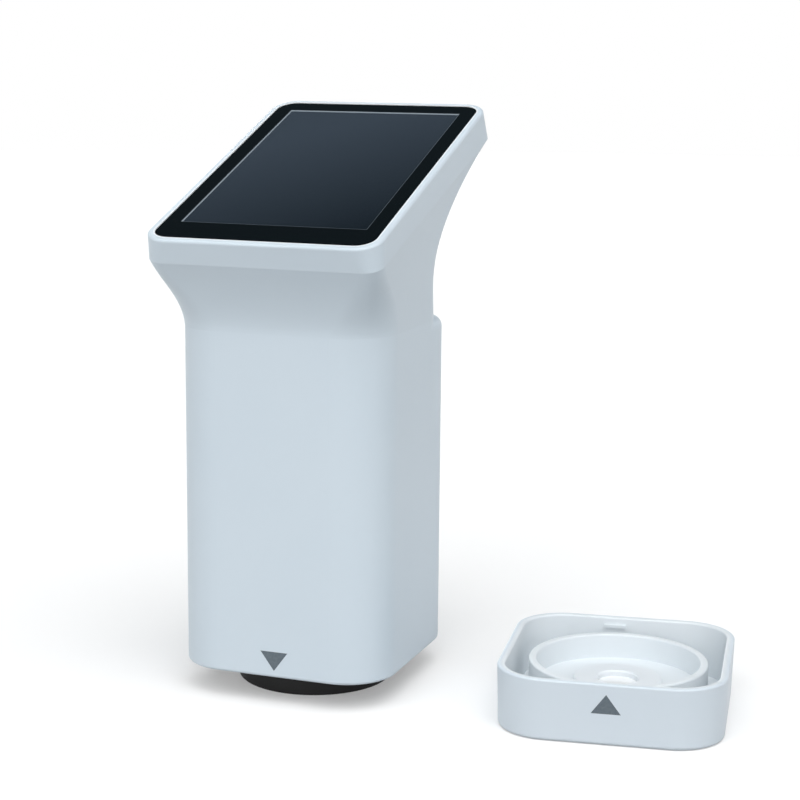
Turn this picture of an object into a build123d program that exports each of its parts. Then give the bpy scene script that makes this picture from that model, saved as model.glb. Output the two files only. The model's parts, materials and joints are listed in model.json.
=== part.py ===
"""Handheld color meter with a tilted touch screen, and its calibration cap.

Millimetres, +Z up, front towards -Y.  The origin is the centre of the sample
port, on the bottom face of the measuring foot.  The cap stands beside it.
"""

from build123d import *
from math import atan2, cos, hypot, radians, sin, tan
import os

# Column of the housing
body_width = 57.0
body_depth = 58.0
body_corner = 13.2
body_bottom = 7.2
wall = 2.2
edge_round = 0.8

# Rear shoulder, where the column steps in to the neck
shoulder_top = 95.5
shoulder_round = 2.6
neck_set_in = 7.0

# Neck: it rises from the column and sweeps out under the head
neck_start = shoulder_top
flare_power = 1.5
flare_soft_start = 0.15
sweep_power = 3.1
waist_depth = 3.2
waist_share = 0.4
widen_power = 1.1
back_corner_power = 5.0
neck_stations = 12

# Head: place of the cover glass's front edge, and the head's slope
head_tilt = 19.8
head_reach = 8.0
glass_front_y = -body_depth / 2 - head_reach
glass_front_z = 119.5
head_widening = 1.2
glass_width = body_width + head_widening
head_overhang = 30.8
glass_length = body_depth + head_overhang
glass_corner = 4.6
glass_thickness = 1.1
glass_sink = 0.15
glass_gap = 0.15
rim_width = 1.9
rim_round = 0.7
rim_draft = 0.5
band_front = 6.4
band_back = 8.7
band_corner = 4.7
pocket_gap = 0.15
well_end_gap = 9.8
well_end = glass_length - well_end_gap
well_depth = 8.9

# Display stack, measured down from the rim's top plane
gasket_thickness = 0.4
gasket_width = 1.3
shelf_width = 1.65
panel_side_gap = 1.8
panel_end_gap = 2.2
panel_width = glass_width - 2 * panel_side_gap
panel_length = glass_length - 2 * panel_end_gap
panel_corner = 3.0
panel_thickness = 3.0
bracket_thickness = 1.0
bracket_rib = 1.4
bracket_rib_height = 1.3
board_thickness = 1.2
board_corner = 2.0
main_board_side = 9.1
main_board_start = 10.5
main_board_end = 22.3
main_board_width = glass_width - 2 * main_board_side
main_board_length = glass_length - main_board_start - main_board_end
main_board_middle = main_board_start + main_board_length / 2
main_board_drop = 3.4
processor_side = 14.0
processor_x = 8.0
processor_along = 17.0
memory_width = 9.0
memory_length = 11.0
memory_x = 11.0
power_chip_side = 7.0
power_chip_x = 12.0
chip_height = 1.2
buzzer_side = 8.0
buzzer_x = main_board_width / 2 - buzzer_side
buzzer_drop = 12.0
buzzer_radius = 4.5
buzzer_height = 2.5
buzzer_hole = 0.8
bracket_screw_side = 4.5
bracket_screw_x = glass_width / 2 - bracket_screw_side
bracket_screw_front = 9.0
bracket_screw_end = 22.8
bracket_screw_back = glass_length - bracket_screw_end
bracket_boss_radius = 3.4
bracket_boss_length = 5.0
bracket_screw_bite = 4.0
bracket_rib_reach = 5.0
bracket_rib_width = 2.0
board_post_radius = 2.2
board_post_inset = 4.0

# Measuring foot and integrating sphere
foot_radius = 20.4
foot_round = 0.8
port_radius = 4.0
foot_floor = 1.0
sphere_gap = 0.3
sphere_radius = 17.0
sphere_wall = 1.4
sphere_port_radius = 4.6
flange_radius = 25.0
flange_thickness = 2.0
flange_screw_circle = 21.8

# Base plate
base_thickness = 2.5
fit_gap = 0.15
base_boss_inset = 7.3
base_boss_x = body_width / 2 - base_boss_inset
base_boss_y = body_depth / 2 - base_boss_inset
base_boss_radius = 3.2
base_boss_length = 14.0
post_radius = 2.8
foot_screw_circle = 18.2
foot_screw_count = 3
foot_screw_bite = 4.0

# Detector on its slightly tilted axis, and lamp on its own slanted axis
view_tilt = 8.0
view_bore = 3.6
tube_wall = 1.6
tube_flange = 6.8
tube_flange_thickness = 1.5
tube_length = 12.0
lens_thickness = 2.0
lens_place = 6.5
sensor_board_width = 24.0
sensor_board_depth = 19.0
sensor_chip_side = 3.2
sensor_chip_height = 0.8
lamp_tilt = 50.0
lamp_bore = 4.0
lamp_boss_radius = 7.4
lamp_boss_reach = 20.6
lamp_holder_thickness = 3.0
lamp_led_count = 6
lamp_led_side = 1.5
lamp_led_height = 0.7
lamp_led_circle = 2.3

# Battery on its chassis plate
chassis_y = -9.2
chassis_thickness = 1.4
chassis_bottom = 44.0
chassis_top = 104.0
chassis_gap = 0.8
chassis_corner = 3.0
chassis_screw_side = 4.7
chassis_screw_x = body_width / 2 - chassis_screw_side
chassis_screw_inset = 8.0
chassis_boss_radius = 3.0
chassis_boss_length = 7.0
chassis_screw_bite = 4.0
battery_width = 34.0
battery_thickness = 10.0
battery_height = 54.0
battery_corner = 2.0
tray_wall = 1.4
tray_height = 18.0

# Rear cover, with the measuring button and the charging socket
cover_half_width = 17.4
cover_bottom = 12.4
cover_shoulder_gap = 4.7
cover_top = shoulder_top - cover_shoulder_gap
cover_gap = 0.15
cover_screw_x = 12.5
cover_screw_inset = 3.9
lug_width = 6.0
lug_depth = 4.0
lug_height = 8.0
tab_width = 5.0
tab_x = 10.0
tab_thickness = 2.0
tab_drop = 2.2
tab_height = 4.0
control_board_width = 32.0
control_board_rise = 13.6
control_board_bottom = cover_bottom + control_board_rise
control_board_drop = 8.8
control_board_top = cover_top - control_board_drop
control_board_gap = 7.4
control_board_y = body_depth / 2 - wall - control_board_gap
control_post_x = 12.8
control_post_rise = 28.6
control_post_drop = 29.8
control_post_low = cover_bottom + control_post_rise
control_post_high = cover_top - control_post_drop
control_post_radius = 2.3
button_drop = 14.8
button_z = cover_top - button_drop
button_width = 11.5
button_height = 17.0
button_proud = 1.1
button_round = 0.9
button_gap = 0.2
button_flange = 1.3
button_flange_thickness = 1.0
button_travel = 0.6
button_rest_gap = 0.05
switch_side = 6.0
switch_body = 3.4
switch_corner = 0.5
switch_plunger_radius = 1.75
usb_rise = 18.6
usb_z = cover_bottom + usb_rise
usb_width = 8.94
usb_height = 3.26
usb_corner = 1.55
usb_wall = 0.3
usb_recess = 0.8
usb_tongue_width = 6.7
usb_tongue_thickness = 0.7
usb_tongue_corner = 0.3
usb_gap = 0.35

# Ribbon cable between the two boards
ribbon_width = 12.0
ribbon_thickness = 0.3
ribbon_gap = 0.1
ribbon_drop = 16.0
ribbon_low = control_board_top - ribbon_drop
ribbon_bend = 8.0
ribbon_run_y = 11.0

# Screws: shank radius, head radius and head height
small_shank = 0.8
small_head = 1.6
small_head_height = 1.1
small_screw = (small_shank, small_head, small_head_height)
case_shank = 1.1
case_head = 2.1
case_head_height = 1.4
case_screw = (case_shank, case_head, case_head_height)
screw_clearance = 0.15
screw_bite = 5.0
thread_gap = 0.02

# Calibration cap
cap_x = 82.7
cap_y = 1.3
cap_turn = 8.0
cap_height = 15.6
cap_draft = 1.65
cap_wall = 2.0
cap_floor = 2.0
cap_foot_round = 1.0
cap_rim_round = 0.5
seat_gap = 0.3
seat_wall = 2.0
seat_top = 13.0
tile_radius = 9.0
tile_gap = 0.1
tile_thickness = 3.0
pad_thickness = 0.5
tile_ring_radius = 11.3
tile_ring_thickness = 1.5
tile_window = 5.2
tile_clearance = 0.3
rib_length = 5.8
rib_height = 0.8
rib_reach = 0.7
rib_z = 13.3
rib_x = -3.5

# Places that follow from the sizes above
tilt_sin = sin(radians(head_tilt))
tilt_cos = cos(radians(head_tilt))
half_depth = body_depth / 2
neck_back_y = half_depth - neck_set_in
rear_face = half_depth
rear_inner = half_depth - wall

head_plane = Plane(
    origin=(0, glass_front_y, glass_front_z),
    x_dir=(1, 0, 0),
    z_dir=(0, -tilt_sin, tilt_cos),
)
head_width = glass_width + 2 * rim_width
head_length = glass_length + 2 * rim_width
head_corner = glass_corner + rim_width
head_middle = glass_length / 2
band_grow_front = band_front * tan(radians(rim_draft))
band_grow_back = band_back * tan(radians(rim_draft))
band_width = head_width + band_grow_front + band_grow_back


def on_head(along, down):
    """Y and Z of a point on the head's middle line: along the slope, and below the rim plane."""
    return (
        glass_front_y + along * tilt_cos + down * tilt_sin,
        glass_front_z + along * tilt_sin - down * tilt_cos,
    )


band_front_edge = on_head(-rim_width - band_grow_front, band_front)
band_back_edge = on_head(glass_length + rim_width + band_grow_back, band_back)


def plane_between(front, back):
    """Plane whose Y runs from a front point to a back point, both as (y, z), centred between."""
    slope = atan2(back[1] - front[1], back[0] - front[0])
    return Plane(
        origin=(0, (front[0] + back[0]) / 2, (front[1] + back[1]) / 2),
        x_dir=(1, 0, 0),
        z_dir=(0, -sin(slope), cos(slope)),
    )


def flare_share(share):
    """Share of the front's reach at a share of the rise, with a soft start."""
    start = flare_soft_start**flare_power
    full = (1 + flare_soft_start**2) ** (flare_power / 2) - start
    return ((share**2 + flare_soft_start**2) ** (flare_power / 2) - start) / full


def neck_section(share):
    """Front point, back point, width, front corner and back corner at a share of the neck's rise."""
    waist = (share / waist_share) ** 2 * ((1 - share) / (1 - waist_share)) ** 3
    front = (
        -half_depth + (band_front_edge[0] + half_depth) * flare_share(share),
        neck_start + (band_front_edge[1] - neck_start) * share,
    )
    back = (
        neck_back_y + (band_back_edge[0] - neck_back_y) * share**sweep_power - waist_depth * waist,
        neck_start + (band_back_edge[1] - neck_start) * share,
    )
    width = body_width + (band_width - body_width) * share**widen_power
    front_corner = body_corner + (band_corner - body_corner) * (3 * share**2 - 2 * share**3)
    back_corner = body_corner + (band_corner - body_corner) * share**back_corner_power
    return front, back, width, front_corner, back_corner


def back_inset(share, inset):
    """Distance along a section to the inside of a back wall that is inset thick square to it."""
    if share == 0:
        return inset
    front, back = neck_section(share)[:2]
    low = neck_section(max(share - 0.01, 0))[1]
    high = neck_section(min(share + 0.01, 1))[1]
    rise = atan2(high[1] - low[1], high[0] - low[0])
    slope = atan2(back[1] - front[1], back[0] - front[0])
    return inset / sin(rise - slope)


def neck_form(inset):
    """Neck from the column to the head, drawn in by inset on every side."""
    with BuildPart() as form:
        for station in range(neck_stations + 1):
            share = station / neck_stations
            front, back, width, front_corner, back_corner = neck_section(share)
            length = hypot(back[0] - front[0], back[1] - front[1])
            back_gap = back_inset(share, inset)
            with BuildSketch(plane_between(front, back)) as section:
                with Locations((0, (inset - back_gap) / 2)):
                    Rectangle(width - 2 * inset, length - inset - back_gap)
                fillet(section.vertices().group_by(Axis.Y)[0], front_corner - inset)
                fillet(section.vertices().group_by(Axis.Y)[-1], back_corner - inset)
        loft()
    return form.part


def column_form(inset, low, high):
    """Full column between two heights, drawn in by inset."""
    with BuildPart() as form:
        with BuildSketch(Plane.XY.offset(low)):
            RectangleRounded(body_width - 2 * inset, body_depth - 2 * inset, body_corner - inset)
        extrude(amount=high - low)
    return form.part


def rear_column_form(inset, low, high, rounding):
    """Back half of the column with its top outer edge rounded, up to the shoulder."""
    with BuildPart() as form:
        add(column_form(inset, low, high))
        split(bisect_by=Plane.XZ, keep=Keep.BOTTOM)
        top_edges = form.faces().sort_by(Axis.Z)[-1].edges()
        fillet(top_edges.filter_by(lambda e: e.center().Y > wall), rounding)
    return form.part


def front_column_form(inset, low, high):
    """Column under the neck, whose back wall stands where the neck's does."""
    depth = half_depth + neck_back_y
    with BuildPart() as form:
        with BuildSketch(Plane.XY.offset(low)):
            with Locations((0, (neck_back_y - half_depth) / 2)):
                RectangleRounded(body_width - 2 * inset, depth - 2 * inset, body_corner - inset)
        extrude(amount=high - low)
    return form.part


def make_screw(sizes, length):
    """Socket-head screw with its head above Z = 0 and its shank below."""
    shank_radius, head_radius, head_height = sizes
    with BuildPart() as screw:
        with BuildSketch(Plane.XY):
            Circle(head_radius)
        extrude(amount=head_height)
        with BuildSketch(Plane.XY):
            Circle(shank_radius)
        extrude(amount=-length)
        with BuildSketch(Plane.XY.offset(head_height)):
            RegularPolygon(head_radius * 0.5, 6)
        extrude(amount=-head_height * 0.6, mode=Mode.SUBTRACT)
    return screw.part


def finish(piece, label):
    """Name a finished piece and write its STEP file."""
    piece.label = label
    export_step(piece, f"parts/{label}.step")


os.makedirs("parts", exist_ok=True)

# Housing: column, neck and head in one moulded shell
outer_neck = neck_form(0)
inner_neck = neck_form(wall)
outer_rear = rear_column_form(0, body_bottom, shoulder_top, shoulder_round)
inner_rear = rear_column_form(wall, body_bottom, shoulder_top - wall, shoulder_round / 2)
shelf_depth = glass_sink + glass_thickness + gasket_thickness
opening_width = glass_width - 2 * shelf_width
opening_length = glass_length - 2 * shelf_width
panel_top = glass_sink + glass_thickness
panel_bottom = panel_top + panel_thickness
bracket_top = panel_bottom + bracket_rib_height
bracket_bottom = bracket_top + bracket_thickness
pocket_depth = bracket_bottom + pocket_gap
base_top = body_bottom + base_thickness
lug_z = cover_top - cover_screw_inset
chassis_screw_low = chassis_bottom + chassis_screw_inset
chassis_screw_high = chassis_top - chassis_screw_inset
bracket_screw_points = [
    (x, y)
    for x in (-bracket_screw_x, bracket_screw_x)
    for y in (bracket_screw_front, bracket_screw_back)
]
bracket_rib_points = [
    (x + bracket_rib_reach / 2 if x > 0 else x - bracket_rib_reach / 2, y)
    for x, y in bracket_screw_points
]
chassis_screw_points = [
    (x, z)
    for x in (-chassis_screw_x, chassis_screw_x)
    for z in (chassis_screw_low, chassis_screw_high)
]
cover_screw_points = [(-cover_screw_x, lug_z), (cover_screw_x, lug_z)]
lug_bottom = lug_z - lug_height / 2
lug_top = shoulder_top - wall / 2
base_screw_points = [
    (x, y) for x in (-base_boss_x, base_boss_x) for y in (-base_boss_y, base_boss_y)
]

with BuildPart() as head_band:
    with BuildSketch(head_plane):
        with Locations((0, head_middle)):
            RectangleRounded(head_width, head_length, head_corner)
    with BuildSketch(plane_between(band_front_edge, band_back_edge)):
        band_length = hypot(
            band_back_edge[0] - band_front_edge[0], band_back_edge[1] - band_front_edge[1]
        )
        RectangleRounded(band_width, band_length, band_corner)
    loft(ruled=True)
    rim_face = head_band.faces().sort_by(Axis((0, 0, 0), head_plane.z_dir))[-1]
    fillet(rim_face.edges(), rim_round)

with BuildPart() as housing:
    add(front_column_form(0, body_bottom, neck_start))
    add(outer_rear)
    fillet(housing.faces().sort_by(Axis.Z)[0].edges(), edge_round)
    add(outer_neck)
    add(head_band)
    add(front_column_form(wall, body_bottom, neck_start), mode=Mode.SUBTRACT)
    add(inner_rear, mode=Mode.SUBTRACT)
    add(inner_neck, mode=Mode.SUBTRACT)
    with BuildSketch(head_plane):
        with Locations((0, head_middle)):
            RectangleRounded(
                glass_width + 2 * glass_gap, glass_length + 2 * glass_gap, glass_corner + glass_gap
            )
    extrude(amount=-shelf_depth, mode=Mode.SUBTRACT)
    with BuildSketch(head_plane):
        with Locations((0, head_middle)):
            RectangleRounded(opening_width, opening_length, glass_corner - shelf_width)
    extrude(amount=-pocket_depth, mode=Mode.SUBTRACT)
    with BuildSketch(head_plane):
        with Locations((0, (shelf_width + well_end) / 2)):
            RectangleRounded(opening_width, well_end - shelf_width, glass_corner - shelf_width)
    extrude(amount=-well_depth, mode=Mode.SUBTRACT)
    with BuildSketch(head_plane.offset(-bracket_bottom)):
        with Locations(*bracket_screw_points):
            Circle(bracket_boss_radius)
        with Locations(*bracket_rib_points):
            Rectangle(bracket_rib_reach, bracket_rib_width)
    extrude(amount=-bracket_boss_length)
    with BuildSketch(head_plane.offset(-bracket_bottom)):
        with Locations(*bracket_screw_points):
            Circle(small_screw[0] + thread_gap)
    extrude(amount=-bracket_screw_bite, mode=Mode.SUBTRACT)
    with BuildSketch(Plane.XY.offset(base_top)):
        with Locations(*base_screw_points):
            Circle(base_boss_radius)
    extrude(amount=base_boss_length)
    with BuildSketch(Plane.XY.offset(base_top)):
        with Locations(*base_screw_points):
            Circle(case_screw[0] + thread_gap)
    extrude(amount=base_boss_length / 2, mode=Mode.SUBTRACT)
    with BuildSketch(Plane.XZ.offset(-chassis_y)):
        with Locations(*chassis_screw_points):
            Circle(chassis_boss_radius)
    extrude(amount=-chassis_boss_length)
    with BuildSketch(Plane.XZ.offset(-chassis_y)):
        with Locations(*chassis_screw_points):
            Circle(small_screw[0] + thread_gap)
    extrude(amount=-screw_bite, mode=Mode.SUBTRACT)
    with BuildSketch(Plane.XZ.offset(-rear_face)):
        with Locations((0, (cover_bottom + cover_top) / 2)):
            Rectangle(2 * cover_half_width, cover_top - cover_bottom)
    extrude(amount=2 * wall, both=True, mode=Mode.SUBTRACT)
    with BuildSketch(Plane.XZ.offset(-(rear_inner - cover_gap))):
        with Locations(*[(x, (lug_bottom + lug_top) / 2) for x, z in cover_screw_points]):
            Rectangle(lug_width, lug_top - lug_bottom)
    extrude(amount=lug_depth)
    with BuildSketch(Plane.XZ.offset(-rear_face + wall / 2)):
        with Locations(*[(x, (cover_top + lug_top) / 2) for x, z in cover_screw_points]):
            Rectangle(lug_width, lug_top - cover_top)
    extrude(amount=wall)
    with BuildSketch(Plane.XZ.offset(-rear_inner)):
        with Locations(*cover_screw_points):
            Circle(small_screw[0] + thread_gap)
    extrude(amount=screw_bite, mode=Mode.SUBTRACT)
finish(housing.part, "housing")

# Rear cover: a panel in the column's back wall, hooked at the bottom and screwed at the top
button_back = rear_inner - button_rest_gap
board_rear = control_board_y + board_thickness
control_posts = [
    (x, z)
    for x in (-control_post_x, control_post_x)
    for z in (control_post_low, control_post_high)
]
cover_height = cover_top - cover_bottom - 2 * cover_gap
cover_middle = (cover_bottom + cover_top) / 2
rear_outside = Plane.XZ.offset(-rear_face)
rear_inside = Plane.XZ.offset(-rear_inner)

with BuildPart() as rear_cover:
    add(column_form(0, cover_bottom + cover_gap, cover_top - cover_gap))
    add(column_form(wall, cover_bottom, cover_top), mode=Mode.SUBTRACT)
    with BuildSketch(rear_outside):
        with Locations((0, cover_middle)):
            Rectangle(2 * (cover_half_width - cover_gap), cover_height)
    extrude(amount=2 * wall, both=True, mode=Mode.INTERSECT)
    with BuildSketch(rear_inside):
        with Locations(*control_posts):
            Circle(control_post_radius)
    extrude(amount=rear_inner - board_rear)
    with BuildSketch(Plane.XZ.offset(-board_rear)):
        with Locations(*control_posts):
            Circle(small_screw[0] + thread_gap)
    extrude(amount=-screw_bite, mode=Mode.SUBTRACT)
    with BuildSketch(Plane.XZ.offset(-(rear_inner + wall / 4))):
        with Locations(*[(x, cover_bottom + tab_height / 2) for x in (-tab_x, tab_x)]):
            Rectangle(tab_width, tab_height - 2 * cover_gap)
    extrude(amount=tab_thickness)
    with BuildSketch(Plane.XZ.offset(-(rear_inner - cover_gap))):
        with Locations(*[(x, cover_bottom + (tab_height - tab_drop) / 2) for x in (-tab_x, tab_x)]):
            Rectangle(tab_width, tab_height + tab_drop - cover_gap)
    extrude(amount=tab_thickness - wall / 4)
    with BuildSketch(rear_outside):
        with Locations((0, button_z)):
            SlotCenterToCenter(
                button_height - button_width, button_width + 2 * button_gap, rotation=90
            )
    extrude(amount=2 * wall, both=True, mode=Mode.SUBTRACT)
    with BuildSketch(rear_outside):
        with Locations((0, usb_z)):
            RectangleRounded(
                usb_width + 2 * usb_gap, usb_height + 2 * usb_gap, usb_corner + usb_gap
            )
    extrude(amount=2 * wall, both=True, mode=Mode.SUBTRACT)
    with BuildSketch(rear_outside):
        with Locations(*cover_screw_points):
            Circle(small_screw[0] + screw_clearance)
    extrude(amount=2 * wall, both=True, mode=Mode.SUBTRACT)
    with BuildSketch(rear_outside):
        with Locations(*cover_screw_points):
            Circle(small_screw[1] + screw_clearance)
    extrude(amount=small_screw[2], mode=Mode.SUBTRACT)
finish(rear_cover.part, "rear_cover")

with BuildPart() as measure_button:
    with BuildSketch(Plane.XZ.offset(-(button_back - button_flange_thickness))):
        with Locations((0, button_z)):
            SlotCenterToCenter(
                button_height - button_width, button_width + 2 * button_flange, rotation=90
            )
    extrude(amount=-button_flange_thickness)
    with BuildSketch(Plane.XZ.offset(-button_back)):
        with Locations((0, button_z)):
            SlotCenterToCenter(button_height - button_width, button_width, rotation=90)
    extrude(amount=-(rear_face + button_proud - button_back))
    fillet(measure_button.faces().sort_by(Axis.Y)[-1].edges(), button_round)
finish(measure_button.part, "measure_button")

with BuildPart() as cover_screws:
    with Locations(
        *[
            Location((x, rear_face - small_screw[2], z), (-90, 0, 0))
            for x, z in cover_screw_points
        ]
    ):
        add(make_screw(small_screw, screw_bite))
finish(cover_screws.part, "cover_screws")

# Control board on the cover's posts, with the button's switch and the charging socket
board_front = Plane.XZ.offset(-control_board_y)
plunger_tip = button_back - button_flange_thickness - button_travel - 2 * button_rest_gap

with BuildPart() as control_board:
    with BuildSketch(board_front):
        with Locations((0, (control_board_bottom + control_board_top) / 2)):
            RectangleRounded(
                control_board_width, control_board_top - control_board_bottom, board_corner
            )
        with Locations(*control_posts):
            Circle(small_screw[0] + screw_clearance, mode=Mode.SUBTRACT)
    extrude(amount=-board_thickness)
finish(control_board.part, "control_board")

with BuildPart() as board_screws:
    with Locations(*[Location((x, control_board_y, z), (90, 0, 0)) for x, z in control_posts]):
        add(make_screw(small_screw, screw_bite))
finish(board_screws.part, "board_screws")

with BuildPart() as button_switch:
    with BuildSketch(Plane.XZ.offset(-board_rear)):
        with Locations((0, button_z)):
            RectangleRounded(switch_side, switch_side, switch_corner)
    extrude(amount=-switch_body)
    with BuildSketch(Plane.XZ.offset(-board_rear)):
        with Locations((0, button_z)):
            Circle(switch_plunger_radius)
    extrude(amount=-(plunger_tip - board_rear))
finish(button_switch.part, "button_switch")

usb_mouth = rear_face - usb_recess
with BuildPart() as usb_socket:
    with BuildSketch(Plane.XZ.offset(-board_rear)):
        with Locations((0, usb_z)):
            RectangleRounded(usb_width, usb_height, usb_corner)
    extrude(amount=-(usb_mouth - board_rear))
    with BuildSketch(Plane.XZ.offset(-(board_rear + 2 * usb_wall))):
        with Locations((0, usb_z)):
            RectangleRounded(
                usb_width - 2 * usb_wall, usb_height - 2 * usb_wall, usb_corner - usb_wall
            )
    extrude(amount=-(usb_mouth - board_rear), mode=Mode.SUBTRACT)
finish(usb_socket.part, "usb_socket")

with BuildPart() as usb_tongue:
    with BuildSketch(Plane.XZ.offset(-(board_rear + 2 * usb_wall))):
        with Locations((0, usb_z)):
            RectangleRounded(usb_tongue_width, usb_tongue_thickness, usb_tongue_corner)
    extrude(amount=-(usb_mouth - board_rear - 3 * usb_wall))
finish(usb_tongue.part, "usb_tongue")

# Base plate, with posts for the sphere and holes for the screws
sphere_centre = foot_floor + sphere_gap + sphere_wall + sphere_radius
sphere_outer = sphere_radius + sphere_wall
flange_bottom = sphere_centre - flange_thickness
flange_top = sphere_centre + flange_thickness
throat = sphere_centre - base_top
base_hole = (sphere_outer**2 - throat**2) ** 0.5 + sphere_gap
base_inset = wall + fit_gap

with BuildPart() as base_plate:
    with BuildSketch(Plane.XY.offset(body_bottom)):
        RectangleRounded(
            body_width - 2 * base_inset, body_depth - 2 * base_inset, body_corner - base_inset
        )
        Circle(base_hole, mode=Mode.SUBTRACT)
    extrude(amount=base_thickness)
    with BuildSketch(Plane.XY.offset(base_top)):
        with PolarLocations(flange_screw_circle, 4):
            Circle(post_radius)
    extrude(amount=flange_bottom - base_top)
    with BuildSketch(Plane.XY.offset(flange_bottom)):
        with PolarLocations(flange_screw_circle, 4):
            Circle(small_screw[0] + thread_gap)
    extrude(amount=-screw_bite, mode=Mode.SUBTRACT)
    with BuildSketch(Plane.XY.offset(body_bottom)):
        with Locations(*base_screw_points):
            Circle(case_screw[0] + screw_clearance)
        with PolarLocations(foot_screw_circle, foot_screw_count, start_angle=45):
            Circle(small_screw[0] + screw_clearance)
    extrude(amount=base_thickness, mode=Mode.SUBTRACT)
    with BuildSketch(Plane.XY.offset(body_bottom)):
        with Locations(*base_screw_points):
            Circle(case_screw[1] + screw_clearance)
    extrude(amount=case_screw[2], mode=Mode.SUBTRACT)
finish(base_plate.part, "base_plate")

with BuildPart() as base_screws:
    with Locations(
        *[Location((x, y, body_bottom + case_screw[2]), (180, 0, 0)) for x, y in base_screw_points]
    ):
        add(make_screw(case_screw, base_thickness - case_screw[2] + screw_bite))
finish(base_screws.part, "base_screws")

# Measuring foot: a black ring whose inside follows the sphere, open at the sample port
with BuildPart() as measuring_foot:
    with BuildSketch(Plane.XY):
        Circle(foot_radius)
    extrude(amount=body_bottom)
    fillet(measuring_foot.edges().group_by(Axis.Z)[0], foot_round)
    with Locations((0, 0, sphere_centre)):
        Sphere(sphere_outer + sphere_gap, mode=Mode.SUBTRACT)
    with BuildSketch(Plane.XY):
        Circle(port_radius)
    extrude(amount=body_bottom, mode=Mode.SUBTRACT)
    with BuildSketch(Plane.XY.offset(body_bottom)):
        with PolarLocations(foot_screw_circle, foot_screw_count, start_angle=45):
            Circle(small_screw[0] + thread_gap)
    extrude(amount=-screw_bite, mode=Mode.SUBTRACT)
finish(measuring_foot.part, "measuring_foot")

with BuildPart() as foot_screws:
    with PolarLocations(foot_screw_circle, foot_screw_count, start_angle=45):
        with Locations((0, 0, base_top)):
            add(make_screw(small_screw, base_thickness + foot_screw_bite))
finish(foot_screws.part, "foot_screws")

# Integrating sphere in two halves, joined at flanges
with BuildPart() as sphere_lower:
    with Locations((0, 0, sphere_centre)):
        Sphere(sphere_outer)
    with BuildSketch(Plane.XY.offset(flange_bottom)):
        Circle(flange_radius)
    extrude(amount=flange_thickness)
    with Locations((0, 0, sphere_centre)):
        Sphere(sphere_radius, mode=Mode.SUBTRACT)
    with BuildSketch(Plane.XY):
        Circle(sphere_port_radius)
    extrude(amount=body_bottom, mode=Mode.SUBTRACT)
    with BuildSketch(Plane.XY.offset(flange_bottom)):
        with PolarLocations(flange_screw_circle, 4):
            Circle(small_screw[0] + screw_clearance)
    extrude(amount=flange_thickness, mode=Mode.SUBTRACT)
    split(bisect_by=Plane.XY.offset(sphere_centre), keep=Keep.BOTTOM)
finish(sphere_lower.part, "sphere_lower")

view_axis = (0, sin(radians(view_tilt)), cos(radians(view_tilt)))
lamp_axis = (0, -sin(radians(lamp_tilt)), cos(radians(lamp_tilt)))
view_seat = sphere_centre + sphere_outer + sphere_wall


def view_plane(reach):
    """Plane across the detector's axis, at a distance from the sample port."""
    return Plane(
        origin=(0, reach * view_axis[1], reach * view_axis[2]), x_dir=(1, 0, 0), z_dir=view_axis
    )


def lamp_plane(reach):
    """Plane across the lamp's axis, at a distance from the sphere's centre."""
    return Plane(
        origin=(0, reach * lamp_axis[1], sphere_centre + reach * lamp_axis[2]),
        x_dir=(1, 0, 0),
        z_dir=lamp_axis,
    )


with BuildPart() as sphere_upper:
    with Locations((0, 0, sphere_centre)):
        Sphere(sphere_outer)
    with BuildSketch(Plane.XY.offset(sphere_centre)):
        Circle(flange_radius)
    extrude(amount=flange_thickness)
    with BuildSketch(view_plane(view_seat)):
        Circle(tube_flange)
    extrude(amount=-sphere_radius / 2)
    with BuildSketch(lamp_plane(lamp_boss_reach)):
        Circle(lamp_boss_radius)
    extrude(amount=-sphere_radius / 2)
    with Locations((0, 0, sphere_centre)):
        Sphere(sphere_radius, mode=Mode.SUBTRACT)
    with BuildSketch(view_plane(view_seat)):
        Circle(view_bore)
    extrude(amount=-sphere_radius / 2, mode=Mode.SUBTRACT)
    with BuildSketch(lamp_plane(lamp_boss_reach)):
        Circle(lamp_bore)
    extrude(amount=-sphere_radius / 2, mode=Mode.SUBTRACT)
    with BuildSketch(Plane.XY.offset(sphere_centre)):
        with PolarLocations(flange_screw_circle, 4):
            Circle(small_screw[0] + screw_clearance)
    extrude(amount=flange_thickness, mode=Mode.SUBTRACT)
    split(bisect_by=Plane.XY.offset(sphere_centre), keep=Keep.TOP)
finish(sphere_upper.part, "sphere_upper")

with BuildPart() as sphere_screws:
    with PolarLocations(flange_screw_circle, 4):
        with Locations((0, 0, flange_top)):
            add(make_screw(small_screw, 2 * flange_thickness + foot_screw_bite))
finish(sphere_screws.part, "sphere_screws")

# Detector: tube, lens and sensor board on the tilted axis
tube_end = view_seat + tube_length
tube_outer = view_bore + tube_wall
with BuildPart() as detector_tube:
    with BuildSketch(view_plane(view_seat)):
        Circle(tube_flange)
    extrude(amount=tube_flange_thickness)
    with BuildSketch(view_plane(view_seat)):
        Circle(tube_outer)
    extrude(amount=tube_length)
    with BuildSketch(view_plane(view_seat)):
        Circle(view_bore)
    extrude(amount=tube_length, mode=Mode.SUBTRACT)
finish(detector_tube.part, "detector_tube")

with BuildPart() as detector_lens:
    with BuildSketch(view_plane(view_seat + lens_place)):
        Circle(view_bore - thread_gap)
    extrude(amount=lens_thickness)
    fillet(detector_lens.edges().sort_by(Axis.Z)[-1:], lens_thickness / 3)
finish(detector_lens.part, "detector_lens")

with BuildPart() as sensor_board:
    with BuildSketch(view_plane(tube_end)):
        RectangleRounded(sensor_board_width, sensor_board_depth, board_corner)
    extrude(amount=board_thickness)
finish(sensor_board.part, "sensor_board")

with BuildPart() as sensor_chip:
    with BuildSketch(view_plane(tube_end)):
        Rectangle(sensor_chip_side, sensor_chip_side)
    extrude(amount=-sensor_chip_height)
finish(sensor_chip.part, "sensor_chip")

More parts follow.
